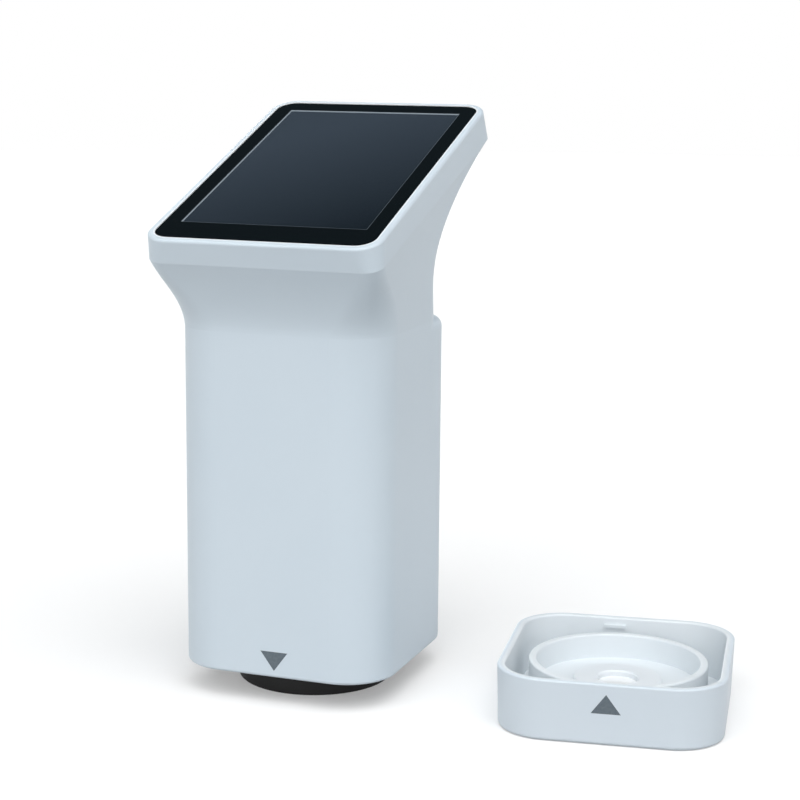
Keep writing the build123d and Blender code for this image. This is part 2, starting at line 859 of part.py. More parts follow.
# Lamp: holder, board and its ring of small lamps
lamp_seat = lamp_boss_reach + lamp_holder_thickness
with BuildPart() as lamp_holder:
    with BuildSketch(lamp_plane(lamp_boss_reach)):
        Circle(lamp_boss_radius)
        Circle(lamp_bore, mode=Mode.SUBTRACT)
    extrude(amount=lamp_holder_thickness)
finish(lamp_holder.part, "lamp_holder")

with BuildPart() as lamp_board:
    with BuildSketch(lamp_plane(lamp_seat)):
        Circle(lamp_boss_radius)
    extrude(amount=board_thickness)
finish(lamp_board.part, "lamp_board")

with BuildPart() as lamps:
    with BuildSketch(lamp_plane(lamp_seat)):
        with PolarLocations(lamp_led_circle, lamp_led_count):
            Rectangle(lamp_led_side, lamp_led_side)
    extrude(amount=-lamp_led_height)
finish(lamps.part, "lamps")

# Chassis plate, battery tray and battery
chassis_front = chassis_y - chassis_thickness
chassis_half = body_width / 2 - wall - chassis_gap
with BuildPart() as chassis:
    with BuildSketch(Plane.XZ.offset(-chassis_y)):
        with Locations((0, (chassis_bottom + chassis_top) / 2)):
            RectangleRounded(2 * chassis_half, chassis_top - chassis_bottom, chassis_corner)
        with Locations(*chassis_screw_points):
            Circle(small_screw[0] + screw_clearance, mode=Mode.SUBTRACT)
    extrude(amount=chassis_thickness)
finish(chassis.part, "chassis")

with BuildPart() as chassis_screws:
    with Locations(*[Location((x, chassis_front, z), (90, 0, 0)) for x, z in chassis_screw_points]):
        add(make_screw(small_screw, chassis_thickness + chassis_screw_bite))
finish(chassis_screws.part, "chassis_screws")

battery_bottom = chassis_bottom + tray_wall + fit_gap
battery_front = chassis_front - fit_gap - battery_thickness
with BuildPart() as battery_tray:
    with BuildSketch(Plane.XY.offset(chassis_bottom)):
        with Locations((0, chassis_front - (battery_thickness + tray_wall + 2 * fit_gap) / 2)):
            RectangleRounded(
                battery_width + 2 * tray_wall + 2 * fit_gap,
                battery_thickness + tray_wall + 2 * fit_gap,
                tray_wall,
            )
    extrude(amount=tray_height)
    with BuildSketch(Plane.XY.offset(chassis_bottom + tray_wall)):
        with Locations((0, chassis_front - (battery_thickness + 2 * fit_gap) / 2)):
            Rectangle(battery_width + 2 * fit_gap, battery_thickness + 2 * fit_gap)
    extrude(amount=tray_height, mode=Mode.SUBTRACT)
finish(battery_tray.part, "battery_tray")

with BuildPart() as battery:
    with BuildSketch(Plane.XY.offset(battery_bottom)):
        with Locations((0, battery_front + battery_thickness / 2)):
            RectangleRounded(battery_width, battery_thickness, battery_corner)
    extrude(amount=battery_height)
finish(battery.part, "battery")

# Display stack in the head
with BuildPart() as cover_glass:
    with BuildSketch(head_plane.offset(-glass_sink)):
        with Locations((0, head_middle)):
            RectangleRounded(glass_width, glass_length, glass_corner)
    extrude(amount=-glass_thickness)
finish(cover_glass.part, "cover_glass")

with BuildPart() as glass_gasket:
    with BuildSketch(head_plane.offset(-panel_top)):
        with Locations((0, head_middle)):
            RectangleRounded(glass_width, glass_length, glass_corner)
            RectangleRounded(
                glass_width - 2 * gasket_width,
                glass_length - 2 * gasket_width,
                glass_corner - gasket_width,
                mode=Mode.SUBTRACT,
            )
    extrude(amount=-gasket_thickness)
finish(glass_gasket.part, "glass_gasket")

with BuildPart() as display_panel:
    with BuildSketch(head_plane.offset(-panel_top)):
        with Locations((0, head_middle)):
            RectangleRounded(panel_width, panel_length, panel_corner)
    extrude(amount=-panel_thickness)
finish(display_panel.part, "display_panel")

board_top = bracket_bottom + main_board_drop
board_posts = [
    (x, main_board_middle + y)
    for x in (
        -main_board_width / 2 + board_post_inset,
        main_board_width / 2 - board_post_inset,
    )
    for y in (
        -main_board_length / 2 + board_post_inset,
        main_board_length / 2 - board_post_inset,
    )
]
with BuildPart() as display_bracket:
    with BuildSketch(head_plane.offset(-bracket_top)):
        with Locations((0, head_middle)):
            RectangleRounded(panel_width, panel_length, panel_corner)
        with Locations(*bracket_screw_points):
            Circle(small_screw[0] + screw_clearance, mode=Mode.SUBTRACT)
    extrude(amount=-bracket_thickness)
    with BuildSketch(head_plane.offset(-bracket_top)):
        with Locations((0, head_middle)):
            RectangleRounded(panel_width, panel_length, panel_corner)
            Rectangle(
                panel_width - 2 * bracket_rib, panel_length - 2 * bracket_rib, mode=Mode.SUBTRACT
            )
        with Locations(*bracket_screw_points):
            Circle(small_screw[1] + screw_clearance, mode=Mode.SUBTRACT)
    extrude(amount=bracket_rib_height)
    with BuildSketch(head_plane.offset(-bracket_bottom)):
        with Locations(*board_posts):
            Circle(board_post_radius)
    extrude(amount=-main_board_drop)
finish(display_bracket.part, "display_bracket")

with BuildPart() as bracket_screws:
    with BuildSketch(head_plane.offset(-bracket_top)):
        with Locations(*bracket_screw_points):
            Circle(small_screw[1])
    extrude(amount=small_screw[2])
    with BuildSketch(head_plane.offset(-bracket_top)):
        with Locations(*bracket_screw_points):
            Circle(small_screw[0])
    extrude(amount=-bracket_screw_bite)
finish(bracket_screws.part, "bracket_screws")

with BuildPart() as main_board:
    with BuildSketch(head_plane.offset(-board_top)):
        with Locations((0, main_board_middle)):
            RectangleRounded(main_board_width, main_board_length, board_corner)
    extrude(amount=-board_thickness)
finish(main_board.part, "main_board")

board_under = board_top + board_thickness
with BuildPart() as board_chips:
    with BuildSketch(head_plane.offset(-board_under)):
        with Locations((-processor_x, main_board_middle + processor_along)):
            Rectangle(processor_side, processor_side)
        with Locations((memory_x, main_board_middle + processor_along)):
            Rectangle(memory_width, memory_length)
        with Locations((-power_chip_x, main_board_middle)):
            Rectangle(power_chip_side, power_chip_side)
    extrude(amount=-chip_height)
finish(board_chips.part, "board_chips")

with BuildPart() as buzzer:
    with BuildSketch(head_plane.offset(-board_under)):
        with Locations((buzzer_x, main_board_middle - buzzer_drop)):
            Circle(buzzer_radius)
    extrude(amount=-buzzer_height)
    with BuildSketch(head_plane.offset(-board_under - buzzer_height)):
        with Locations((buzzer_x, main_board_middle - buzzer_drop)):
            Circle(buzzer_hole)
    extrude(amount=buzzer_height / 2, mode=Mode.SUBTRACT)
finish(buzzer.part, "buzzer")

# Ribbon cable from the control board's front face up to the main board's underside
ribbon_front = control_board_y - ribbon_thickness / 2 - ribbon_gap
ribbon_along = (ribbon_run_y - glass_front_y - board_under * tilt_sin) / tilt_cos
ribbon_end = on_head(ribbon_along, board_under + ribbon_gap)
with BuildPart() as ribbon_cable:
    with BuildLine(Plane.YZ):
        ribbon_path = FilletPolyline(
            (ribbon_front, ribbon_low),
            (ribbon_front, control_board_top),
            (ribbon_run_y, control_board_top + 2 * ribbon_bend),
            ribbon_end,
            radius=ribbon_bend / 2,
        )
    with BuildSketch(Plane.XY.offset(ribbon_low)):
        with Locations((0, ribbon_front)):
            Rectangle(ribbon_width, ribbon_thickness)
    sweep(path=ribbon_path)
finish(ribbon_cable.part, "ribbon_cable")

# Calibration cap, turned a little where it stands
turn = radians(cap_turn)
cap_plane = Plane(
    origin=(cap_x, cap_y, 0), x_dir=(cos(turn), sin(turn), 0), z_dir=(0, 0, 1)
)
cap_shrink = 2 * cap_height * tan(radians(cap_draft))
seat_radius = foot_radius + seat_gap
tile_ring_top = cap_height - body_bottom - tile_clearance
plateau_top = tile_ring_top - tile_ring_thickness
tile_bottom = plateau_top - tile_thickness
pad_bottom = tile_bottom - pad_thickness
far_wall = half_depth - cap_wall

with BuildPart() as cap_shell:
    with BuildSketch(cap_plane):
        RectangleRounded(
            body_width - cap_shrink, body_depth - cap_shrink, body_corner - cap_shrink / 2
        )
    extrude(amount=cap_height, taper=-cap_draft)
    fillet(cap_shell.edges().group_by(Axis.Z)[0], cap_foot_round)
    with BuildSketch(cap_plane.offset(cap_height)):
        RectangleRounded(
            body_width - 2 * cap_wall, body_depth - 2 * cap_wall, body_corner - cap_wall
        )
    extrude(amount=cap_floor - cap_height, taper=cap_draft, mode=Mode.SUBTRACT)
    fillet(cap_shell.faces().sort_by(Axis.Z)[-1].edges(), cap_rim_round)
    with BuildSketch(cap_plane.offset(cap_floor)):
        Circle(seat_radius + seat_wall)
    extrude(amount=seat_top - cap_floor)
    with BuildSketch(cap_plane.offset(plateau_top)):
        Circle(seat_radius)
    extrude(amount=seat_top - plateau_top, mode=Mode.SUBTRACT)
    seat_circles = cap_shell.edges().filter_by(GeomType.CIRCLE)
    seat_edges = seat_circles.filter_by_position(Axis.Z, seat_top - fit_gap, seat_top + fit_gap)
    fillet(seat_edges, seat_wall / 4)
    with BuildSketch(cap_plane.offset(plateau_top)):
        Circle(tile_radius + tile_gap)
    extrude(amount=pad_bottom - plateau_top, mode=Mode.SUBTRACT)
    with BuildSketch(cap_plane.offset(rib_z)):
        with Locations((rib_x, far_wall - rib_reach / 2 + cap_wall / 4)):
            Rectangle(rib_length, rib_reach + cap_wall / 2)
    extrude(amount=rib_height / 2, both=True)
finish(cap_shell.part, "cap_shell")

with BuildPart() as tile_pad:
    with BuildSketch(cap_plane.offset(pad_bottom)):
        Circle(tile_radius)
    extrude(amount=pad_thickness)
finish(tile_pad.part, "tile_pad")

with BuildPart() as calibration_tile:
    with BuildSketch(cap_plane.offset(tile_bottom)):
        Circle(tile_radius)
    extrude(amount=tile_thickness)
finish(calibration_tile.part, "calibration_tile")

with BuildPart() as tile_ring:
    with BuildSketch(cap_plane.offset(plateau_top)):
        Circle(tile_ring_radius)
        Circle(tile_window, mode=Mode.SUBTRACT)
    extrude(amount=tile_ring_thickness)
    chamfer(tile_ring.faces().sort_by(Axis.Z)[-1].edges(), tile_ring_thickness / 4)
finish(tile_ring.part, "tile_ring")
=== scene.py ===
"""Looks of a handheld color meter and its calibration cap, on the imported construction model.

Metres, +Z up, the front towards -Y, in the frame of the construction model.
"""

import json
import logging
import math
from dataclasses import dataclass
from enum import Enum
from typing import Any, Optional, Union

import bmesh
import bpy
from mathutils import Matrix, Vector

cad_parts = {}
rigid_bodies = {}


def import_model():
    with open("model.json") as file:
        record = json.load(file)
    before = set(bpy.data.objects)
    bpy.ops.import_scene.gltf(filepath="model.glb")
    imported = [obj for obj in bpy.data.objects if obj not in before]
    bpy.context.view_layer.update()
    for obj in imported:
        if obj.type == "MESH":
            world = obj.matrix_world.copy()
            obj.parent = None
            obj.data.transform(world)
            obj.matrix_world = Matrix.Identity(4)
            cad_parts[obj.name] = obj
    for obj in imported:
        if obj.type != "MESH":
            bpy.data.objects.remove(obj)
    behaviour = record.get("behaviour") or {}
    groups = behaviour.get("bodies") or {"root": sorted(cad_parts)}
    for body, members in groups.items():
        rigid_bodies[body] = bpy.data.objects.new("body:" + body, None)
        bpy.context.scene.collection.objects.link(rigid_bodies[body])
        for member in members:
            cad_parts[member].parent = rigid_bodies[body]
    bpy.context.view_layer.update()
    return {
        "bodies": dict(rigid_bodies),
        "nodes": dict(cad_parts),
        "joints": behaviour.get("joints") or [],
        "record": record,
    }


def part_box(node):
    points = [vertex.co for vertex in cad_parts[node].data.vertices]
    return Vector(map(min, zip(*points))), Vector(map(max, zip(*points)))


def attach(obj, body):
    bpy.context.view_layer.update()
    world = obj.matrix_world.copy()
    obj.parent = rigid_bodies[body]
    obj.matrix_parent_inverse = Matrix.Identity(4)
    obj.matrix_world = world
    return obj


MM = 0.001
LOG = logging.getLogger("color_meter")

Socket = Union[int, str]
Frame = dict[str, Any]
Pair = Union[Vector, tuple[float, float]]
Place = Union[Vector, tuple[float, float, float]]


def linear(hex_colour: str) -> tuple[float, float, float, float]:
    """Turn an sRGB hex colour into linear red, green, blue and alpha.

    Args:
        hex_colour: Colour such as "#d4dde6".

    Returns:
        Linear channels, with an alpha of 1.
    """
    channels = [int(hex_colour[start : start + 2], 16) / 255 for start in (1, 3, 5)]
    red, green, blue = (
        c / 12.92 if c <= 0.04045 else ((c + 0.055) / 1.055) ** 2.4 for c in channels
    )
    return red, green, blue, 1.0


def per_mm(size: float) -> float:
    """Texture scale at which one feature is this many millimetres wide."""
    return 1 / (size * MM)


class Recipe:
    """Node tree of one material, with its surface shader and its object coordinates."""

    def __init__(self, name: str) -> None:
        """Start the material.

        Args:
            name: Name of the material.
        """
        self.material = bpy.data.materials.new(name)
        self.material.use_nodes = True
        self.tree = self.material.node_tree
        self.shader = self.tree.nodes["Principled BSDF"]
        self.output = self.tree.nodes["Material Output"]
        self.point = self.add("ShaderNodeTexCoord").outputs["Object"]

    def add(
        self,
        kind: str,
        settings: Optional[dict[str, Any]] = None,
        values: Optional[dict[Socket, Any]] = None,
        links: Optional[dict[Socket, bpy.types.NodeSocket]] = None,
    ) -> bpy.types.Node:
        """Add a node.

        Args:
            kind: Blender's name of the node type.
            settings: Properties of the node.
            values: Values of its unlinked inputs.
            links: Outputs of other nodes that feed its inputs.

        Returns:
            The new node.
        """
        node = self.tree.nodes.new(kind)
        for name, value in (settings or {}).items():
            setattr(node, name, value)
        for socket, value in (values or {}).items():
            node.inputs[socket].default_value = value
        for socket, source in (links or {}).items():
            self.tree.links.new(source, node.inputs[socket])
        return node

    def feed(self, socket: str, source: bpy.types.NodeSocket) -> None:
        """Link an output to one of the surface shader's inputs."""
        self.tree.links.new(source, self.shader.inputs[socket])

    def rectangle(
        self,
        place: bpy.types.NodeSocket,
        middle: Pair,
        half: Pair,
        corner: float,
        blur: float,
    ) -> bpy.types.NodeSocket:
        """Mask of an upright rectangle with round corners, all its sizes in millimetres.

        Args:
            place: Vector whose X and Y are compared with the rectangle.
            middle: Middle of the rectangle.
            half: Half of its width and length.
            corner: Radius of its corners, at least the blur.
            blur: How far its edge is blurred, both ways.

        Returns:
            1 inside the rectangle and 0 outside.
        """
        straight = [(size - corner) * MM for size in half]
        steps = (
            ("SUBTRACT", (middle[0] * MM, middle[1] * MM, 0)),
            ("MULTIPLY", (1, 1, 0)),
            ("ABSOLUTE", (0, 0, 0)),
            ("SUBTRACT", (*straight, 0)),
            ("MAXIMUM", (0, 0, 0)),
            ("LENGTH", (0, 0, 0)),
        )
        for operation, amount in steps:
            step = self.add(
                "ShaderNodeVectorMath", {"operation": operation}, {1: amount}, {0: place}
            )
            place = step.outputs[0]
        mask = self.add(
            "ShaderNodeMapRange",
            values={
                "From Min": (corner - blur) * MM,
                "From Max": (corner + blur) * MM,
                "To Min": 1.0,
                "To Max": 0.0,
            },
            links={"Value": step.outputs["Value"]},
        )
        return mask.outputs[0]


@dataclass(frozen=True)
class Finish:
    """A real material and how its surface was made."""

    name: str
    colour: str
    roughness: float
    ior: float = 1.5
    metallic: float = 0.0

    def build(self) -> bpy.types.Material:
        """Make the material of this finish."""
        recipe = Recipe(self.name)
        recipe.shader.inputs["Base Color"].default_value = linear(self.colour)
        recipe.shader.inputs["Roughness"].default_value = self.roughness
        recipe.shader.inputs["IOR"].default_value = self.ior
        recipe.shader.inputs["Metallic"].default_value = self.metallic
        self.dress(recipe)
        return recipe.material

    def dress(self, recipe: Recipe) -> None:
        """Add the finish's own pattern, none on a bare finish."""

    def mottle(
        self, recipe: Recipe, other: str, size: float, share: float = 1.0
    ) -> bpy.types.NodeSocket:
        """Vary the colour in soft patches.

        Args:
            recipe: Material to work on.
            other: Hex colour at the middle of the patches.
            size: Width of a patch, in millimetres.
            share: How far the colour may go towards the other one.

        Returns:
            The varied colour, which also feeds the shader.
        """
        patches = recipe.add(
            "ShaderNodeTexNoise",
            values={"Scale": per_mm(size), "Detail": 2.0},
            links={"Vector": recipe.point},
        )
        amount = recipe.add(
            "ShaderNodeMapRange",
            values={"From Min": 0.3, "From Max": 0.7, "To Max": share},
            links={"Value": patches.outputs[0]},
        )
        colour = recipe.add(
            "ShaderNodeMix",
            {"data_type": "RGBA"},
            {6: linear(self.colour), 7: linear(other)},
            {0: amount.outputs[0]},
        )
        recipe.feed("Base Color", colour.outputs[2])
        return colour.outputs[2]

    def emboss(
        self, recipe: Recipe, height: bpy.types.NodeSocket, depth: float, spread: float
    ) -> None:
        """Let a pattern of heights move the surface and its gloss.

        Args:
            recipe: Material to work on.
            height: Pattern from 0 to 1.
            depth: Depth of the pattern, in millimetres.
            spread: How far the roughness strays from the finish's own, both ways.
        """
        relief = recipe.add(
            "ShaderNodeBump",
            values={"Strength": 1.0, "Distance": depth * MM},
            links={"Height": height},
        )
        recipe.feed("Normal", relief.outputs[0])
        gloss = recipe.add(
            "ShaderNodeMapRange",
            values={
                "From Min": 0.25,
                "From Max": 0.75,
                "To Min": self.roughness - spread,
                "To Max": self.roughness + spread,
            },
            links={"Value": height},
        )
        recipe.feed("Roughness", gloss.outputs[0])


class MouldWall(Enum):
    """How the wall of a mould was finished: grain width and grain depth, in millimetres."""

    SPARK_ERODED = (0.5, 0.010)
    FINE_ERODED = (0.35, 0.006)


@dataclass(frozen=True)
class MouldedPlastic(Finish):
    """Injection-moulded ABS: one even colour, its gloss broken by the mould's eroded grain.

    The real grain is about 0.1 mm wide, so it is drawn coarser, just wide enough to show.
    """

    dense: str = "#c9d3dc"
    wall: MouldWall = MouldWall.SPARK_ERODED
    flow: float = 34.0

    def dress(self, recipe: Recipe) -> None:
        """Add flow patches and the grain of the mould."""
        self.mottle(recipe, self.dense, size=self.flow, share=0.5)
        width, depth = self.wall.value
        grain = recipe.add(
            "ShaderNodeTexNoise",
            values={"Scale": per_mm(width), "Detail": 3.0, "Roughness": 0.6},
            links={"Vector": recipe.point},
        )
        self.emboss(recipe, grain.outputs[0], depth=depth, spread=0.05)


@dataclass(frozen=True)
class PaintedLightPlastic(MouldedPlastic):
    """The same moulded ABS, painted paler inside one upright block with round corners, as painted
    light.

    The block stands on a plane of its own, at origin and turned by angles, in radians. The rest is
    in millimetres: half of its width and length, its corner radius, its lowest and highest level.
    """

    # Colour of the painted light inside the zone.
    pale: str = "#dce2e6"
    origin: Place = (0.0, 0.0, 0.0)
    angles: tuple[float, float, float] = (0.0, 0.0, 0.0)
    middle: Pair = (0.0, 0.0)
    half: Pair = (1.0, 1.0)
    corner: float = 1.0
    fade: float = 0.5
    height: tuple[float, float] = (-1.0, 1.0)

    def dress(self, recipe: Recipe) -> None:
        """Add the paler zone, painted light, to the moulded surface."""
        MouldedPlastic.dress(self, recipe)
        rest = recipe.shader.inputs["Base Color"].links[0].from_socket
        in_zone = recipe.add(
            "ShaderNodeMapping",
            {"vector_type": "TEXTURE"},
            {"Location": [v * MM for v in self.origin], "Rotation": self.angles},
            {"Vector": recipe.point},
        ).outputs[0]
        within = recipe.rectangle(in_zone, self.middle, self.half, self.corner, self.fade)
        low, high = self.height
        rise = recipe.add("ShaderNodeSeparateXYZ", links={0: in_zone}).outputs[2]
        near = recipe.add(
            "ShaderNodeMath",
            {"operation": "COMPARE"},
            {1: (low + high) / 2 * MM, 2: (high - low) / 2 * MM},
            {0: rise},
        )
        amount = recipe.add(
            "ShaderNodeMath", {"operation": "MULTIPLY"}, links={0: within, 1: near.outputs[0]}
        )
        colour = recipe.add(
            "ShaderNodeMix",
            {"data_type": "RGBA"},
            {7: linear(self.pale)},
            {0: amount.outputs[0], 6: rest},
        )
        recipe.feed("Base Color", colour.outputs[2])


@dataclass(frozen=True)
class PrintedGlass(Finish):
    """Float glass, printed black on its back round the display: deep gloss, with a faint smear.

    The middle of its lower edge is at origin, in metres. The sizes are in millimetres on the glass,
    from there. The display is painted with light and shade: it pales by climb from its lower
    edge to its upper one, and darkens by fall from left to right, as shares of the way from
    its low to its high colour.
    """

    origin: Place = (0.0, 0.0, 0.0)
    tilt: float = 0.0
    display_shaded: str = "#10181f"
    display_lit: str = "#343d47"
    climb: float = 0.8
    fall: float = 0.5
    edge_highlight: str = "#8b959d"
    display_x: float = 0.3
    display_start: float = 9.3
    display_width: float = 48.96
    display_length: float = 73.44
    side_edge_highlight: float = 0.45
    top_edge_highlight: float = 0.8
    blur: float = 0.12

    def dress(self, recipe: Recipe) -> None:
        """Draw the display's area, the painted highlight of the display's edge where it shows
        through the gap at two sides, and the smear.
        """
        on_glass = recipe.add(
            "ShaderNodeMapping",
            {"vector_type": "TEXTURE"},
            {"Location": self.origin, "Rotation": (self.tilt, 0, 0)},
            {"Vector": recipe.point},
        )
        place = on_glass.outputs[0]
        half = Vector((self.display_width / 2, self.display_length / 2))
        middle = Vector((self.display_x, self.display_start + half.y))
        display = recipe.rectangle(place, middle, half, self.blur, self.blur)
        # The display's own edge shows through a gap at its left and top; its brightness there is a
        # painted highlight.
        shift = Vector((-self.side_edge_highlight / 2, self.top_edge_highlight / 2))
        grown = half + Vector((self.side_edge_highlight / 2, self.top_edge_highlight / 2))
        edge_highlight_mask = recipe.rectangle(place, middle + shift, grown, self.blur, self.blur)
        # Painted light and shade: the display pales towards its upper edge and darkens towards its
        # right.
        light_gradient = (
            per_mm(-self.display_width / self.fall),
            per_mm(self.display_length / self.climb),
            0,
        )
        light_slope = recipe.add(
            "ShaderNodeVectorMath", {"operation": "DOT_PRODUCT"}, {1: light_gradient}, {0: place}
        )
        most_shaded = (
            self.climb * self.display_start / self.display_length
            - self.fall * (self.display_x + self.display_width / 2) / self.display_width
        )
        rise = recipe.add(
            "ShaderNodeMapRange",
            values={"From Min": most_shaded, "From Max": most_shaded + 1},
            links={"Value": light_slope.outputs["Value"]},
        )
        cell = recipe.add(
            "ShaderNodeMix",
            {"data_type": "RGBA"},
            {6: linear(self.display_shaded), 7: linear(self.display_lit)},
            {0: rise.outputs[0]},
        )
        with_edge_highlight = recipe.add(
            "ShaderNodeMix",
            {"data_type": "RGBA"},
            {6: linear(self.colour), 7: linear(self.edge_highlight)},
            {0: edge_highlight_mask},
        )
        whole = recipe.add(
            "ShaderNodeMix",
            {"data_type": "RGBA"},
            links={0: display, 6: with_edge_highlight.outputs[2], 7: cell.outputs[2]},
        )
        recipe.feed("Base Color", whole.outputs[2])
        smear = recipe.add(
            "ShaderNodeTexNoise",
            values={"Scale": per_mm(22), "Detail": 4.0, "Distortion": 0.8},
            links={"Vector": recipe.point},
        )
        gloss = recipe.add(
            "ShaderNodeMapRange",
            values={
                "From Min": 0.35,
                "From Max": 0.75,
                "To Min": self.roughness,
                "To Max": self.roughness + 0.05,
            },
            links={"Value": smear.outputs[0]},
        )
        recipe.feed("Roughness", gloss.outputs[0])


@dataclass(frozen=True)
class DisplayCell(Finish):
    """Liquid-crystal cell, laminated: near black, with the faint stripes of its columns."""

    stripe: str = "#1c2229"
    pitch: float = 0.153

    def dress(self, recipe: Recipe) -> None:
        """Draw the columns at their real pitch."""
        columns = recipe.add(
            "ShaderNodeTexWave",
            {"wave_type": "BANDS", "bands_direction": "X", "wave_profile": "SIN"},
            {"Scale": per_mm(self.pitch * 20), "Distortion": 0.0},
            {"Vector": recipe.point},
        )
        colour = recipe.add(
            "ShaderNodeMix",
            {"data_type": "RGBA"},
            {6: linear(self.colour), 7: linear(self.stripe)},
            {0: columns.outputs[1]},
        )
        recipe.feed("Base Color", colour.outputs[2])


@dataclass(frozen=True)
class PlatedSteel(Finish):
    """Steel, turned or drawn and then plated: a bright skin with fine marks that blur its gloss."""

    metallic: float = 1.0
    stained: str = "#8f9396"
    mark: float = 0.25

    def dress(self, recipe: Recipe) -> None:
        """Add plating stains and fine tool marks."""
        self.mottle(recipe, self.stained, size=2.5, share=0.4)
        marks = recipe.add(
            "ShaderNodeTexNoise",
            values={"Scale": per_mm(self.mark), "Detail": 4.0},
            links={"Vector": recipe.point},
        )
        self.emboss(recipe, marks.outputs[0], depth=0.002, spread=0.08)


@dataclass(frozen=True)
class RolledAluminium(Finish):
    """Aluminium sheet, rolled: long fine scratches one way, which stretch its highlights."""

    metallic: float = 1.0
    stained: str = "#a9adb0"
    scratch: float = 0.3
    stretch: float = 0.03

    def dress(self, recipe: Recipe) -> None:
        """Add the rolling marks, drawn out along Z."""
        self.mottle(recipe, self.stained, size=18, share=0.4)
        drawn_out = recipe.add(
            "ShaderNodeMapping",
            values={"Scale": (1.0, 1.0, self.stretch)},
            links={"Vector": recipe.point},
        )
        scratches = recipe.add(
            "ShaderNodeTexNoise",
            values={"Scale": per_mm(self.scratch), "Detail": 3.0},
            links={"Vector": drawn_out.outputs[0]},
        )
        self.emboss(recipe, scratches.outputs[0], depth=0.003, spread=0.1)


@dataclass(frozen=True)
class SolderMask(Finish):
    """Glass-fibre board under green solder mask: glossy, with lighter copper tracks beneath."""

    track: str = "#2f7a4b"
    spacing: float = 3.5
    width: float = 0.35

    def dress(self, recipe: Recipe) -> None:
        """Draw the tracks and raise them a little."""
        cells = recipe.add(
            "ShaderNodeTexVoronoi",
            {"feature": "DISTANCE_TO_EDGE"},
            {"Scale": per_mm(self.spacing), "Randomness": 0.55},
            {"Vector": recipe.point},
        )
        track = recipe.add(
            "ShaderNodeMapRange",
            values={
                "From Min": self.width / self.spacing * 0.6,
                "From Max": self.width / self.spacing,
                "To Min": 1.0,
                "To Max": 0.0,
            },
            links={"Value": cells.outputs[0]},
        )
        colour = recipe.add(
            "ShaderNodeMix",
            {"data_type": "RGBA"},
            {6: linear(self.colour), 7: linear(self.track)},
            {0: track.outputs[0]},
        )
        recipe.feed("Base Color", colour.outputs[2])
        self.emboss(recipe, track.outputs[0], depth=0.03, spread=0.03)


@dataclass(frozen=True)
class LaminatedPouch(Finish):
    """Aluminium-laminate pouch, heat sealed: silvery, with soft creases that catch the light."""

    metallic: float = 0.75
    crease: float = 9.0

    def dress(self, recipe: Recipe) -> None:
        """Add the creases of the pouch."""
        self.mottle(recipe, "#8e969d", size=14, share=0.5)
        creases = recipe.add(
            "ShaderNodeTexNoise",
            values={"Scale": per_mm(self.crease), "Detail": 3.0, "Distortion": 0.6},
            links={"Vector": recipe.point},
        )
        self.emboss(recipe, creases.outputs[0], depth=0.2, spread=0.05)


@dataclass(frozen=True)
class PolishedLens(Finish):
    """Crown glass, ground and polished: clear, with the faint tint of its coating."""

    def dress(self, recipe: Recipe) -> None:
        """Make it clear, with a breath of polish marks."""
        recipe.shader.inputs["Transmission Weight"].default_value = 1.0
        polish = recipe.add(
            "ShaderNodeTexNoise",
            values={"Scale": per_mm(1.2), "Detail": 2.0},
            links={"Vector": recipe.point},
        )
        self.emboss(recipe, polish.outputs[0], depth=0.0005, spread=0.01)


@dataclass(frozen=True)
class FlexCircuit(Finish):
    """Polyimide film on copper, etched: amber, with even conductors along its length."""

    conductor: str = "#c98a3e"
    pitch: float = 1.0

    def dress(self, recipe: Recipe) -> None:
        """Draw the conductors side by side."""
        lines = recipe.add(
            "ShaderNodeTexWave",
            {"wave_type": "BANDS", "bands_direction": "X"},
            {"Scale": per_mm(self.pitch * 20), "Distortion": 0.0},
            {"Vector": recipe.point},
        )
        colour = recipe.add(
            "ShaderNodeMix",
            {"data_type": "RGBA"},
            {6: linear(self.colour), 7: linear(self.conductor)},
            {0: lines.outputs[1]},
        )
        recipe.feed("Base Color", colour.outputs[2])
        self.emboss(recipe, lines.outputs[1], depth=0.02, spread=0.05)


@dataclass(frozen=True)
class GlazedCeramic(Finish):
    """White ceramic, glazed and fired: a dead even white under a clear glassy skin."""

    def dress(self, recipe: Recipe) -> None:
        """Add the skin of glaze and its slight waves."""
        self.mottle(recipe, "#eceeef", size=3.0, share=0.5)
        waves = recipe.add(
            "ShaderNodeTexNoise",
            values={"Scale": per_mm(4.0), "Detail": 1.0},
            links={"Vector": recipe.point},
        )
        self.emboss(recipe, waves.outputs[0], depth=0.004, spread=0.03)
        recipe.shader.inputs["Coat Weight"].default_value = 0.6
        recipe.shader.inputs["Coat Roughness"].default_value = 0.05


@dataclass(frozen=True)
class FoamRubber(Finish):
    """Closed-cell foam, die cut: dull and dark, pitted with cells."""

    cell: float = 0.6

    def dress(self, recipe: Recipe) -> None:
        """Press the cells into the surface."""
        self.mottle(recipe, "#2b2c2e", size=5.0, share=0.6)
        cells = recipe.add(
            "ShaderNodeTexVoronoi",
            values={"Scale": per_mm(self.cell)},
            links={"Vector": recipe.point},
        )
        self.emboss(recipe, cells.outputs[0], depth=0.08, spread=0.05)


@dataclass(frozen=True)
class SprayedReflector(Finish):
    """White reflective coating, sprayed in many coats: chalky, with no gloss at all."""

    speck: float = 0.4

    def dress(self, recipe: Recipe) -> None:
        """Add the dry specks of the spray."""
        self.mottle(recipe, "#f4f4f1", size=6.0, share=0.5)
        specks = recipe.add(
            "ShaderNodeTexNoise",
            values={"Scale": per_mm(self.speck), "Detail": 5.0, "Roughness": 0.7},
            links={"Vector": recipe.point},
        )
        self.emboss(recipe, specks.outputs[0], depth=0.02, spread=0.02)


@dataclass(frozen=True)
class PadPrint(Finish):
    """Two-part ink, pad printed: flat grey, thin enough for the grain below to mottle it."""

    thin: str = "#68737b"

    def dress(self, recipe: Recipe) -> None:
        """Let the ink run a little thin in fine specks."""
        self.mottle(recipe, self.thin, size=0.6, share=0.55)


